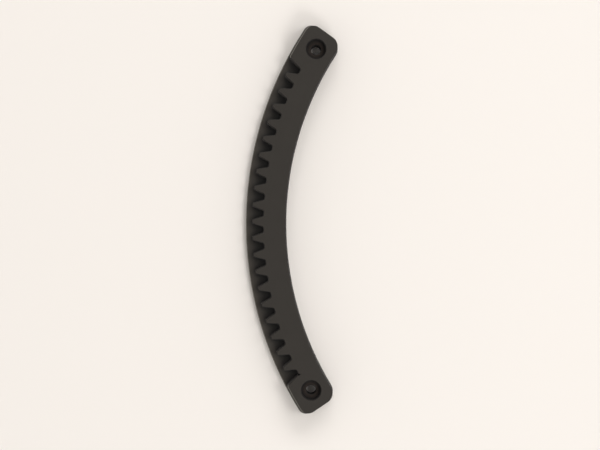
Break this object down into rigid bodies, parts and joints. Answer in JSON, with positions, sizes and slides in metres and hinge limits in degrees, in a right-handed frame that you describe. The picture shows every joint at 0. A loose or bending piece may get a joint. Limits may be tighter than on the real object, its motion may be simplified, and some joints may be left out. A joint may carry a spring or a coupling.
{
  "type": "curved gear rack",
  "caption": "Curved gear rack: a moulded plastic arc with spur-gear teeth along its outer edge over a thin web, and a recessed screw hole in the pad at each end.",
  "frame": {"origin": "midpoint between the two screw holes, on the flat back face", "axes": "+Y along the line through the two screw holes, -X towards the teeth, +Z from the flat back face to the front, where the screw heads sit"},
  "size_m": [0.0425, 0.1844, 0.01],
  "materials": {
    "rack_plastic": "near-black, matte, lightly mottled"
  },
  "bodies": {
    "root": {"gear_rack": "rack_plastic"}
  },
  "joints": []
}
